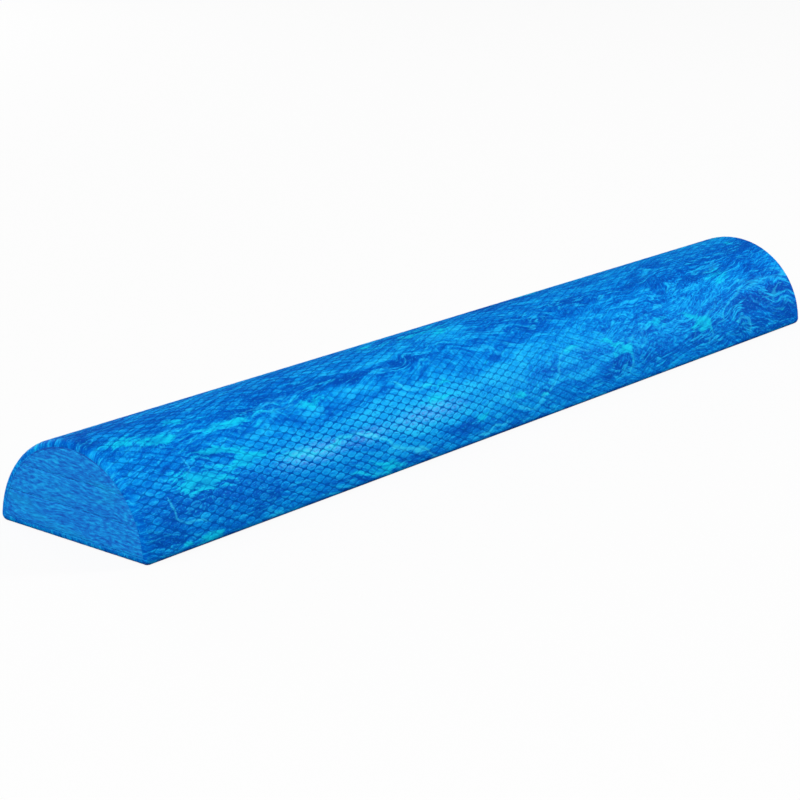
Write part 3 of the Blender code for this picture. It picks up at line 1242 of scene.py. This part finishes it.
@dataclass(frozen=True)
class Embossing:
    """Small rounded diamonds pressed into the flat sheet stock, with V grooves between."""

    length_diagonal: Span = (15.60 * MM, -0.352 * MM)
    width_diagonal: Span = (1.155 * MM, 6.852 * MM)
    one_centre: Span = (-219.95 * MM, 38.9 * MM)
    groove_depth: float = 0.36 * MM
    shoulder_drop: float = 0.08 * MM
    crown_drop: float = 0.04 * MM
    shoulder_at_side: float = 0.82
    shoulder_at_sharp_corner: float = 0.58
    shoulder_at_blunt_corner: float = 0.6
    crown_size: float = 0.84
    unevenness: float = 0.04 * MM
    seed: int = 11
    rim: tuple[Span, ...] = (
        (0.0, 0.0), (0.5, 0.0), (1.0, 0.0), (1.0, 0.5),
        (1.0, 1.0), (0.5, 1.0), (0.0, 1.0), (0.0, 0.5),
    )

    def lattice(self) -> tuple[Array, Array]:
        """Works out how the diamonds repeat.

        Returns:
            One crossing of the grooves, and the two sides of a diamond as rows.
        """
        length, width = np.array(self.length_diagonal), np.array(self.width_diagonal)
        steps = np.array([length - width, length + width]) / 2
        return np.array(self.one_centre) - steps.sum(axis=0) / 2, steps

    def flat_sheet(self, low: Array, high: Array) -> Sheet:
        """Presses the diamonds into a flat rectangle.

        Args:
            low: the rectangle's lowest corner, along and around.
            high: its highest corner.

        Returns:
            The sheet's face, untrimmed, with its relief in the third coordinate.
        """
        origin, steps = self.lattice()
        corners = np.array([[x, y] for x in (low[0], high[0]) for y in (low[1], high[1])])
        wanted = (corners - origin) @ np.linalg.inv(steps)
        first = np.floor(wanted.min(axis=0)).astype(int) - 1
        last = np.ceil(wanted.max(axis=0)).astype(int) + 1
        counts = [np.arange(a, b) for a, b in zip(first, last, strict=True)]
        grid = np.stack(np.meshgrid(*counts, indexing="ij"), axis=-1).reshape(-1, 2)
        reach = np.abs(steps).sum(axis=0)
        centres = origin + (grid + 0.5) @ steps
        cells = grid[((centres > low - reach) & (centres < high + reach)).all(axis=1)]
        return self._pressed(cells)

    def _pressed(self, cells: Array) -> Sheet:
        """Models the cells at these places of the lattice.

        Args:
            cells: whole lattice places, one row a cell.

        Returns:
            The joined faces of all the cells.
        """
        rim = np.array(self.rim)
        shares = np.full(len(rim), self.shoulder_at_side)
        shares[0::4] = self.shoulder_at_sharp_corner
        shares[2::4] = self.shoulder_at_blunt_corner
        rng = np.random.default_rng(self.seed)
        lifts = rng.uniform(-self.unevenness, 0.0, len(cells))[:, None]

        halves = ((cells[:, None] + rim) * 2).round().astype(int).reshape(-1, 2)
        keys, valley = np.unique(halves, axis=0, return_inverse=True)
        valley = valley.reshape(len(cells), len(rim))
        tops = cells + MIDDLE
        out = rim - MIDDLE
        shoulder = tops[:, None] + out * shares[:, None]
        crown = tops[:, None] + out * (shares * self.crown_size)[:, None]
        points = [
            self._points(keys / 2, -self.groove_depth),
            self._points(shoulder, lifts - self.shoulder_drop),
            self._points(crown, lifts - self.crown_drop),
            self._points(tops, lifts[:, 0]),
        ]

        shoulder_at = len(keys) + np.arange(valley.size).reshape(valley.shape)
        crown_at = shoulder_at + valley.size
        top_at = len(keys) + 2 * valley.size + np.arange(len(cells))
        rings = (valley, shoulder_at, crown_at)
        faces = []
        for k in range(len(rim)):
            n = (k + 1) % len(rim)
            for low, high in zip(rings, rings[1:]):
                faces.append(np.stack([low[:, k], low[:, n], high[:, n], high[:, k]], 1))
        for k in range(0, len(rim), 2):
            corners = [crown_at[:, (k + more) % len(rim)] for more in range(3)]
            faces.append(np.stack([*corners, top_at], 1))
        mesh = bpy.data.meshes.new("pressed_sheet")
        points, faces = np.concatenate(points), np.concatenate(faces)
        mesh.from_pydata(points.tolist(), [], faces.tolist())
        builder = bmesh.new()
        builder.from_mesh(mesh)
        bpy.data.meshes.remove(mesh)
        return builder

    def _points(self, places: Array, height: Array | float) -> Array:
        """Turns places on the lattice into points.

        Args:
            places: places on the lattice.
            height: the relief of each place, or of all.

        Returns:
            The flat places and their relief, one to a row.
        """
        origin, steps = self.lattice()
        flat = origin + places @ steps
        tall = np.broadcast_to(height, flat.shape[:-1])
        return np.concatenate([flat, tall[..., None]], axis=-1).reshape(-1, 3)


def cut_sheet(
    builder: Sheet, axis: Axis, place: float, reach: float, trim: int = 0
) -> None:
    """Cuts a flat sheet along one straight line.

    Args:
        builder: the sheet.
        axis: the direction that the line stands across.
        place: where it stands.
        reach: how far from the line faces are looked for.
        trim: 1 removes what lies above the line, -1 what lies below, 0 nothing.
    """
    across = axis.value
    near = [
        face
        for face in builder.faces
        if abs(face.calc_center_median()[across] - place) < reach
    ]
    edges = {edge for face in near for edge in face.edges}
    corners = {vertex for face in near for vertex in face.verts}
    normal = Vector((0.0, 0.0, 0.0))
    normal[across] = 1.0
    bmesh.ops.bisect_plane(
        builder,
        geom=[*near, *edges, *corners],
        dist=TINY,
        plane_co=normal * place,
        plane_no=normal,
        clear_outer=trim > 0,
        clear_inner=trim < 0,
    )


@dataclass(frozen=True)
class RollerForm:
    """The roller's overall shape, and how flat sheet stock bends to it."""

    length: float
    radius: float
    sheet: float
    end_round: float = 5.0 * MM
    foot_round: float = 5.5 * MM
    glue_line: float = 0.12 * MM
    bend_steps: int = 4

    @classmethod
    def from_frame(cls) -> RollerForm:
        """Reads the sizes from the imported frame.

        Returns:
            The form.
        """
        low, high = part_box("wrap")
        base_low, base_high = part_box("base_sheet")
        return cls(high.x - low.x, high.z - low.z, base_high.z - base_low.z)

    @property
    def inner_radius(self) -> float:
        """Radius of the wrap's inside."""
        return self.radius - self.sheet

    @property
    def fitted_radius(self) -> float:
        """Radius of what lies inside the wrap, short of it by the glue."""
        return self.inner_radius - self.glue_line

    @property
    def straight(self) -> float:
        """Half the length, up to where the ends start to round."""
        return self.length / 2 - self.end_round

    @property
    def flat_half_length(self) -> float:
        """Half the length of the flat sheet, up to where the end's flat face starts."""
        return self.straight + self.end_round * math.pi / 2

    @property
    def foot_centre(self) -> float:
        """How far from the middle the centre of the foot's rounding lies."""
        return math.sqrt((self.radius - self.foot_round) ** 2 - self.foot_round**2)

    @property
    def foot_angle(self) -> float:
        """The dome's angle above the floor where the foot's rounding takes over."""
        return math.atan2(self.foot_round, self.foot_centre)

    @property
    def dome_start(self) -> float:
        """The way round at which the dome's own arc starts."""
        return self.radius * self.foot_angle

    @property
    def underside_start(self) -> float:
        """The way round at which the foot's flat underside starts, which is below 0."""
        return self.dome_start - self.foot_round * (math.pi / 2 + self.foot_angle)

    @property
    def sheet_start(self) -> float:
        """The way round at the sheet's own edge, on the inner side of the foot."""
        return self.underside_start - (self.foot_centre - self.inner_radius)

    @property
    def girth(self) -> float:
        """The way round from the front lower edge to the back one."""
        return math.pi * self.radius

    def lengthwise(self, flat: Array) -> tuple[Array, Array]:
        """Bends a flat sheet's length over the rounded ends.

        Args:
            flat: the flat places and their relief.

        Returns:
            X of each place, and how far it lies inside the section's outline.
        """
        along = np.abs(flat[:, 0])
        turn = np.clip((along - self.straight) / self.end_round, 0.0, math.pi / 2)
        out = self.end_round + flat[:, 2]
        reach = np.minimum(along, self.straight) + out * np.sin(turn)
        return np.sign(flat[:, 0]) * reach, self.end_round - out * np.cos(turn)

    def section(self, around: Array) -> tuple[Array, Array]:
        """Follows the section of the wrap's outside.

        Args:
            around: the way round, from the front lower edge.

        Returns:
            Y and Z of each place, and of its outward normal.
        """
        side = np.where(around < self.girth / 2, -1.0, 1.0)
        way = self.girth / 2 - np.abs(around - self.girth / 2)
        on_foot = way < self.dome_start
        on_foot_angle = self.foot_angle - (self.dome_start - way) / self.foot_round
        angle = np.where(on_foot, on_foot_angle, way / self.radius)
        angle = np.maximum(angle, -math.pi / 2)
        normals = np.column_stack([np.cos(angle), np.sin(angle)])
        inward = np.maximum(self.underside_start - way, 0.0)
        curve = np.where(on_foot, self.foot_round, self.radius)
        centre = np.column_stack(
            [np.where(on_foot, self.foot_centre, 0.0) - inward, on_foot * self.foot_round]
        )
        mirror = np.column_stack([side, np.ones(len(side))])
        return (centre + curve[:, None] * normals) * mirror, normals * mirror

    def wrapped(self, flat: Array) -> Array:
        """Bends a flat sheet round the dome and over its edges.

        Args:
            flat: the flat places and their relief.

        Returns:
            The bent points.
        """
        x, depth = self.lengthwise(flat)
        places, normals = self.section(flat[:, 1])
        return np.column_stack([x, places - normals * depth[:, None]])

    def laid_under(self, flat: Array) -> Array:
        """Bends a flat sheet over the ends of the underside, which faces down."""
        x, depth = self.lengthwise(flat)
        return np.column_stack([x, flat[:, 1], depth])

    def bend_lines(self) -> list[float]:
        """Says where a sheet is cut, to bend cleanly over both ends.

        Returns:
            The places along it.
        """
        turn = self.end_round * math.pi / 2
        steps = [self.straight + turn * k / self.bend_steps for k in range(self.bend_steps)]
        return [-step for step in steps] + [0.0] + steps

    def foot_lines(self) -> list[float]:
        """Says where the wrap is cut, to bend cleanly under both feet.

        Returns:
            The ways round at it.
        """
        turn = self.dome_start - self.underside_start
        steps = [
            self.underside_start + turn * k / self.bend_steps
            for k in range(self.bend_steps + 1)
        ]
        return steps + [self.girth - step for step in steps]


def relief_share(
    flat: Array, low: Array, high: Array, plain: Array, fade: float
) -> Array:
    """Works out how the relief of a flat sheet runs out towards its edges.

    Args:
        flat: the sheet's places and relief.
        low: its lowest corner.
        high: its highest corner.
        plain: the width without relief, at the ends and at the sides.
        fade: the width over which the relief then comes up.

    Returns:
        How much of its relief each place keeps.
    """
    margin = np.minimum(flat[:, :2] - low, high - flat[:, :2]) - plain
    share = np.clip(margin.min(axis=1) / fade, 0.0, 1.0)
    return share**2 * (3 - 2 * share)


@dataclass
class EmbossedPiece:
    """A closed piece of sheet stock, embossed on its outer face."""

    name: str
    node: str
    slot: Slot
    form: RollerForm
    embossing: Embossing
    marbling: Marbling
    finish: MarbledFoam
    cut_finish: CutFoam
    plain_end: float = 4.0 * MM
    plain_side: float = 0.0
    fade: float = 6.0 * MM
    end_face: float = 3.0 * MM
    trim_reach: float = 20.0 * MM
    bend_reach: float = 5.0 * MM

    def low(self) -> Array:
        """The flat sheet's lowest corner."""
        raise NotImplementedError

    def high(self) -> Array:
        """The flat sheet's highest corner."""
        return -self.low()

    def cuts_around(self) -> list[float]:
        """The lines along the sheet at which it bends."""
        return []

    def bent(self, flat: Array) -> Array:
        """Bends the flat sheet to the roller."""
        raise NotImplementedError

    def inside(self) -> list[Triple]:
        """The section's inner corners as (way round, Y, Z), from front to back."""
        raise NotImplementedError

    def build(self) -> Object:
        """Models and dresses the piece.

        Returns:
            The finished object, riding on the frame.
        """
        builder = self._trimmed_sheet()
        flat = np.array([vertex.co[:] for vertex in builder.verts])
        plain = np.array([self.plain_end, self.plain_side])
        share = relief_share(flat, self.low(), self.high(), plain, self.fade)
        flat[:, 2] *= share
        self.marbling.paint(builder, flat, share, self.form.length)
        for vertex, point in zip(builder.verts, self.bent(flat), strict=True):
            vertex.co = point
        self._close(builder, builder.verts.layers.float_vector[SHEET_PLACE])
        mesh = bpy.data.meshes.new(self.name)
        builder.to_mesh(mesh)
        builder.free()
        FlatPattern(self.low(), self.high(), self.end_face).add(mesh)
        mesh.materials.append(self.finish.material())
        mesh.materials.append(self.cut_finish.material())
        return add_foam(self.name, mesh, self.node)

    def _trimmed_sheet(self) -> Sheet:
        """Cuts the flat embossed sheet to size and along every bend.

        Returns:
            The sheet, still flat.
        """
        low, high = self.low(), self.high()
        builder = self.embossing.flat_sheet(low, high)
        for axis in Axis:
            cut_sheet(builder, axis, low[axis.value], self.trim_reach, trim=-1)
            cut_sheet(builder, axis, high[axis.value], self.trim_reach, trim=1)
        for place in self.form.bend_lines():
            cut_sheet(builder, Axis.ALONG, place, self.bend_reach)
        for place in self.cuts_around():
            cut_sheet(builder, Axis.AROUND, place, self.bend_reach)
        return builder

    def _close(self, builder: Sheet, layer: Note) -> None:
        """Adds the sawn ends and the hidden faces, so that the piece is one closed body.

        Args:
            builder: the bent sheet.
            layer: where its flat places are noted.
        """
        low, high = self.low(), self.high()
        rim = [vertex for vertex in builder.verts if vertex.is_boundary]
        inner_ends = []
        for side, edge in ((-1, low[0]), (1, high[0])):
            outer = [vertex for vertex in rim if abs(vertex[layer][0] - edge) < TINY]
            outer.sort(key=lambda vertex: vertex[layer][1])
            inner = [self._corner(builder, layer, side, place) for place in self.inside()]
            self._sawn_end(builder, layer, outer, inner)
            inner_ends.append(inner)
        left, right = inner_ends
        for corner, edge in ((0, low[1]), (-1, high[1])):
            foot = [vertex for vertex in rim if abs(vertex[layer][1] - edge) < TINY]
            foot.sort(key=lambda vertex: vertex[layer][0])
            face = builder.faces.new([*foot, right[corner], left[corner]])
            for line in face.edges:
                line.smooth = False
        for k in range(len(left) - 1):
            face = builder.faces.new([left[k], left[k + 1], right[k + 1], right[k]])
            for inner in inner_ends:
                builder.edges.get((inner[k], inner[k + 1])).smooth = False
        bmesh.ops.recalc_face_normals(builder, faces=builder.faces[:])
        for face in builder.faces:
            face.smooth = True

    def _corner(self, builder: Sheet, layer: Note, side: int, place: Triple) -> Corner:
        """Adds one inner corner of an end face.

        Args:
            builder: the sheet.
            layer: where its flat places are noted.
            side: -1 at the left end, 1 at the right one.
            place: the way round, Y and Z.

        Returns:
            The corner.
        """
        around, across, up = place
        vertex = builder.verts.new((side * self.form.length / 2, across, up))
        along = side * (self.form.flat_half_length + self.end_face)
        vertex[layer] = (along, around, 0.0)
        return vertex

    @staticmethod
    def _sawn_end(
        builder: Sheet, layer: Note, outer: list[Corner], inner: list[Corner]
    ) -> None:
        """Joins the two edges of an end, always at the nearest corners.

        Args:
            builder: the sheet.
            layer: where its flat places are noted.
            outer: the outer edge's corners, from front to back.
            inner: the inner edge's.
        """
        way_round = [[vertex[layer][1] for vertex in edge] for edge in (outer, inner)]
        ends = [len(outer) - 1, len(inner) - 1]
        at = [0, 0]
        while at != ends:
            # Twice the way round to the middle of each edge's next side.
            ahead = [
                way[k] + way[k + 1] if k < end else math.inf
                for way, k, end in zip(way_round, at, ends, strict=True)
            ]
            moved = 0 if ahead[0] < ahead[1] else 1
            first = [outer[at[0]], inner[at[1]]]
            at[moved] += 1
            face = builder.faces.new([*first, (outer, inner)[moved][at[moved]]])
            face.material_index = 1


@dataclass
class Wrap(EmbossedPiece):
    """The sheet over the dome, with its feet."""

    inner_steps: int = 30
    inner_clearance: float = 1.0 * MM
    plain_side: float = 4.5 * MM

    def low(self) -> Array:
        """The corner at the left end of the front foot."""
        return np.array([-self.form.flat_half_length, self.form.sheet_start])

    def high(self) -> Array:
        """The corner at the right end of the back foot."""
        form = self.form
        return np.array([form.flat_half_length, form.girth - form.sheet_start])

    def cuts_around(self) -> list[float]:
        """The lines of the rounding under each foot."""
        return self.form.foot_lines()

    def bent(self, flat: Array) -> Array:
        """Bends the sheet round the dome."""
        return self.form.wrapped(flat)

    def inside(self) -> list[Triple]:
        """Follows the wrap's inside, clear of the feet's own corners.

        Returns:
            The way round, Y and Z of each corner.
        """
        radius = self.form.inner_radius
        lift = math.asin((self.form.end_round + self.inner_clearance) / radius)
        corners = []
        for step in range(self.inner_steps + 1):
            angle = lift + (math.pi - 2 * lift) * step / self.inner_steps
            across, up = -radius * math.cos(angle), radius * math.sin(angle)
            corners.append((self.form.radius * angle, across, up))
        return corners


@dataclass
class BaseSheet(EmbossedPiece):
    """The sheet on the underside, between the wrap's feet."""

    def low(self) -> Array:
        """The corner at the left end, on the front side."""
        return np.array([-self.form.flat_half_length, -self.form.fitted_radius])

    def bent(self, flat: Array) -> Array:
        """Lays the sheet face down."""
        return self.form.laid_under(flat)

    def inside(self) -> list[Triple]:
        """Places the upper corners against the wrap's inside.

        Returns:
            The way round, Y and Z of each.
        """
        fitted, sheet = self.form.fitted_radius, self.form.sheet
        across = math.sqrt(fitted**2 - sheet**2)
        return [(side * fitted, side * across, sheet) for side in (-1, 1)]


@dataclass
class CoreSlab:
    """One level slab of the core, its sawn ends softly uneven."""

    name: str
    node: str
    form: RollerForm
    finish: CutFoam
    pitch: float = 1.2 * MM
    edge_round: float = 0.3 * MM
    edge_share: float = 0.6
    saw_relief: float = 0.12 * MM
    saw_marks: Span = (40.0, 420.0)
    saw_smoothness: float = 0.9
    saw_layers: int = 3
    saw_seed: float = 7.0
    weld: float = 0.01 * MM
    sharp_deg: float = 50.0

    def build(self) -> Object:
        """Models and dresses the slab.

        Returns:
            The finished object, riding on the frame.
        """
        builder = bmesh.new()
        rims = [self._end(builder, side) for side in (-1, 1)]
        count = len(rims[0])
        for k in range(count):
            n = (k + 1) % count
            builder.faces.new([rims[0][k], rims[0][n], rims[1][n], rims[1][k]])
        bmesh.ops.remove_doubles(builder, verts=builder.verts[:], dist=self.weld)
        bmesh.ops.recalc_face_normals(builder, faces=builder.faces[:])
        mesh = bpy.data.meshes.new(self.name)
        builder.to_mesh(mesh)
        builder.free()
        mesh.shade_smooth()
        mesh.set_sharp_from_angle(angle=math.radians(self.sharp_deg))
        mesh.materials.append(self.finish.material())
        return add_foam(self.name, mesh, self.node)

    def _end(self, builder: Sheet, side: int) -> list[Corner]:
        """Models one sawn end.

        Args:
            builder: where it is added.
            side: -1 for the left end, 1 for the right one.

        Returns:
            The corners round it, in order.
        """
        low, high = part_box(self.node)
        fitted = self.form.fitted_radius
        half = max(abs(low.y), abs(high.y))
        columns = 2 * math.ceil(half / self.pitch)
        rows = math.ceil((high.z - low.z) / self.pitch)
        grid = []
        for row in range(rows + 1):
            z = low.z + (high.z - low.z) * row / rows
            reach = math.sqrt(max(fitted**2 - z**2, 0.0))
            line = []
            for column in range(columns + 1):
                y = reach * (2 * column / columns - 1)
                margin = min(reach - abs(y), z - low.z, high.z - z)
                x = self.form.length / 2 - self._sunk(side, y, z, margin)
                line.append(builder.verts.new((side * x, y, z)))
            grid.append(line)
        for lower, upper in zip(grid, grid[1:]):
            for column in range(columns):
                quad = [lower[column], lower[column + 1], upper[column + 1], upper[column]]
                builder.faces.new(quad)
        left = [line[0] for line in grid]
        right = [line[-1] for line in grid]
        return [*grid[0], *right[1:], *reversed(grid[-1][:-1]), *reversed(left[1:-1])]

    def _sunk(self, side: int, y: float, z: float, margin: float) -> float:
        """Works out how far a point of a sawn end lies inside the roller's length.

        Args:
            side: -1 for the left end, 1 for the right one.
            y: the point's Y.
            z: its Z.
            margin: how far it lies from the end's edge.

        Returns:
            How deep it lies.
        """
        off_edge = min(margin / self.edge_round, 1.0)
        curve = 1 - math.sqrt(off_edge * (2 - off_edge))
        rounding = self.edge_round * curve * self.edge_share
        place = Vector((side * self.saw_seed, y * self.saw_marks[0], z * self.saw_marks[1]))
        marks = noise.fractal(place, self.saw_smoothness, 2.0, self.saw_layers)
        return rounding + self.saw_relief * (0.5 + 0.5 * max(-1.0, min(1.0, marks)))


def put_in_scene(name: str, data: bpy.types.ID) -> Object:
    """Adds an object.

    Args:
        name: its name.
        data: its mesh, lamp or camera.

    Returns:
        The object.
    """
    piece = bpy.data.objects.new(name, data)
    bpy.context.scene.collection.objects.link(piece)
    return piece


def add_foam(name: str, mesh: bpy.types.Mesh, node: str) -> Object:
    """Puts a piece in its CAD solid's place and hides the solid.

    Args:
        name: the piece's name.
        mesh: its finished mesh.
        node: the solid that it stands for.

    Returns:
        The finished object, riding on the frame.
    """
    piece = put_in_scene(name, mesh)
    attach(piece, "root")
    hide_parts(node)
    log.info("%s: %d faces", name, len(mesh.polygons))
    return piece


@dataclass(frozen=True)
class FlatPattern:
    """How a sheet is laid out flat on its map, its right half above its left one."""

    low: Array
    high: Array
    more: float
    margin: float = 0.005
    half_tall: float = 0.47
    half_step: float = 0.48
    hidden_low: float = 0.965
    hidden_tall: float = 0.03

    def add(self, mesh: bpy.types.Mesh) -> None:
        """Adds the map, with the long hidden faces in a strip of their own.

        Args:
            mesh: a sheet that knows its flat places.
        """
        places = np.empty(len(mesh.vertices) * 3)
        mesh.attributes[SHEET_PLACE].data.foreach_get("vector", places)
        corners = np.empty(len(mesh.loops), np.int64)
        mesh.loops.foreach_get("vertex_index", corners)
        counts = np.empty(len(mesh.polygons), np.int64)
        mesh.polygons.foreach_get("loop_total", counts)
        along, around = places.reshape(-1, 3)[corners, :2].T
        starts = np.cumsum(counts) - counts
        face = np.repeat(np.arange(len(counts)), counts)
        right = (np.bincount(face, along) > 0)[face]
        spans = np.maximum.reduceat(along, starts) - np.minimum.reduceat(along, starts)
        hidden = (spans > (self.high[0] - self.low[0]) / 2)[face]

        half = self.high[0] + self.more
        u = np.where(right, along, along + half) / half
        u = np.where(hidden, (along + half) / (2 * half), u)
        v = (around - self.low[1]) / (self.high[1] - self.low[1])
        shown = self.margin + self.half_tall * v + self.half_step * right
        v = np.where(hidden, self.hidden_low + self.hidden_tall * v, shown)
        u = self.margin + (1 - 2 * self.margin) * u
        layer = mesh.uv_layers.new(name=FLAT_PATTERN)
        layer.data.foreach_set("uv", np.column_stack([u, v]).ravel())


@dataclass(frozen=True)
class Lamp:
    """A square lamp that faces the roller, with its width in metres and power in watts."""

    name: str
    place: Triple
    size: float
    power: float

    def build(self) -> None:
        """Adds the lamp."""
        data = bpy.data.lights.new(self.name, "AREA")
        data.size = self.size
        data.energy = self.power
        lamp = put_in_scene(self.name, data)
        lamp.location = self.place
        lamp.rotation_euler = (-Vector(self.place)).to_track_quat("-Z", "Y").to_euler()


@dataclass(frozen=True)
class Studio:
    """A pale floor, soft lamps and the camera."""

    camera_place: Triple = (-1.5459, -1.1590, 0.5793)
    heading_deg: float = 38.370
    down_deg: float = 16.548
    roll_deg: float = 1.098
    lens: float = 105.157
    sensor: float = 36.0
    farthest: float = 100.0
    white: Colour = (1.0, 1.0, 1.0)
    floor_half: float = 30.0
    floor_drop: float = 0.2 * MM
    floor_tone: Colour = (0.8, 0.8, 0.8)
    floor_tone_for_light: Colour = (0.12, 0.12, 0.12)
    floor_glow: float = 0.92
    light_from_below: float = 0.08
    more_from_above: float = 0.3
    above: Span = (0.0, 0.8)
    lamps: tuple[Lamp, ...] = (
        Lamp("left_lamp", (-3.0, -2.4, 2.4), 2.2, 108.0),
        Lamp("right_lamp", (2.6, -2.1, 1.45), 0.8, 78.0),
        Lamp("back_lamp", (0.6, 3.3, 0.75), 1.4, 46.0),
        Lamp("end_lamp", (-3.6, 0.7, 1.1), 1.6, 48.0),
    )

    def build(self) -> None:
        """Adds the floor, the world, the lamps and the camera."""
        self._floor()
        self._world()
        for lamp in self.lamps:
            lamp.build()
        self._camera()
        bpy.context.scene.view_settings.view_transform = "Standard"

    def _floor(self) -> None:
        """A wide pale floor just under the roller, near white where the camera sees it."""
        mesh = bpy.data.meshes.new("studio_floor")
        half, z = self.floor_half, -self.floor_drop
        corners = [(-half, -half, z), (half, -half, z), (half, half, z), (-half, half, z)]
        mesh.from_pydata(corners, [], [(0, 1, 2, 3)])
        tree = FinishTree.of_material("studio_floor")
        seen = tree.add("ShaderNodeLightPath", {}, output="Is Camera Ray")
        tone = tree.blend(seen, self.floor_tone_for_light, self.floor_tone)
        matte = tree.add("ShaderNodeBsdfDiffuse", {}, {"Color": tone})
        white = {"Color": (*self.white, 1.0), "Strength": 1.0}
        glow = tree.add("ShaderNodeEmission", {}, white)
        inputs = {0: seen * self.floor_glow, 1: matte, 2: glow}
        mesh.materials.append(tree.surface(tree.add("ShaderNodeMixShader", {}, inputs)))
        put_in_scene("studio_floor", mesh)

    def _world(self) -> None:
        """Light from all sides, more from above, and a white backdrop where the camera sees
        it.
        """
        tree = FinishTree(bpy.data.worlds.new("studio"))
        seen = tree.add("ShaderNodeLightPath", {}, output="Is Camera Ray")
        direction = tree.add("ShaderNodeTexCoord", {}, output="Generated")
        upward = direction.part(2).step(*self.above)
        light = self.light_from_below + upward * self.more_from_above
        strength = seen.math("MAXIMUM", seen, light)
        inputs = {"Color": (*self.white, 1.0), "Strength": strength}
        backdrop = tree.add("ShaderNodeBackground", {}, inputs)
        bpy.context.scene.world = tree.surface(backdrop)

    def _camera(self) -> None:
        """The camera, at the photograph's place and angle."""
        data = bpy.data.cameras.new("camera")
        data.lens = self.lens
        data.sensor_width = self.sensor
        data.clip_end = self.farthest
        camera = put_in_scene("camera", data)
        tilt = math.pi / 2 - math.radians(self.down_deg)
        heading = math.radians(self.heading_deg) - math.pi / 2
        turn = Euler((tilt, 0.0, heading)).to_matrix()
        turn = turn @ Matrix.Rotation(math.radians(self.roll_deg), 3, "Z")
        camera.matrix_world = Matrix.Translation(self.camera_place) @ turn.to_4x4()
        bpy.context.scene.camera = camera


def front_marbling(form: RollerForm) -> Marbling:
    """Lays the wrap's pigments: on its front as photographed, with painted shade and
    highlight among its tones; on its back by chance.

    Args:
        form: the roller's form.

    Returns:
        The marbling of both.
    """
    back = Scatter((FRONT_END, form.girth / MM + BEYOND_FOOT), form.length / MM)
    return FRONT_MARBLING.joined(back.marbling(BACK_SEED))


def base_marbling(form: RollerForm) -> Marbling:
    """The underside's pigments, by chance."""
    half = form.radius / MM
    return Scatter((-half, half), form.length / MM).marbling(BASE_SEED)


def main() -> None:
    """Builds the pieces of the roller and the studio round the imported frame."""
    logging.basicConfig(level=logging.INFO, format="%(name)s: %(message)s")
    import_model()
    form, embossing, blues = RollerForm.from_frame(), Embossing(), Blues()
    sawn = CutFoam("sawn_foam", blues)
    sawn_sheet = CutFoam("sawn_sheet", blues, tone=0.52, drop_at_top=0.25)
    dome = MarbledFoam("marbled_wrap", blues, embossing)
    sole = MarbledFoam("marbled_base", blues, embossing, seed=5.0)
    Wrap(
        "embossed_wrap",
        "wrap",
        Slot.WRAP,
        form,
        embossing,
        front_marbling(form),
        dome,
        sawn_sheet,
    ).build()
    BaseSheet(
        "embossed_base",
        "base_sheet",
        Slot.BASE,
        form,
        embossing,
        base_marbling(form),
        sole,
        sawn_sheet,
    ).build()
    for place in ("lower", "middle", "upper"):
        CoreSlab(f"core_{place}", f"core_slab_{place}", form, sawn).build()
    Studio().build()


if __name__ == "__main__":
    main()
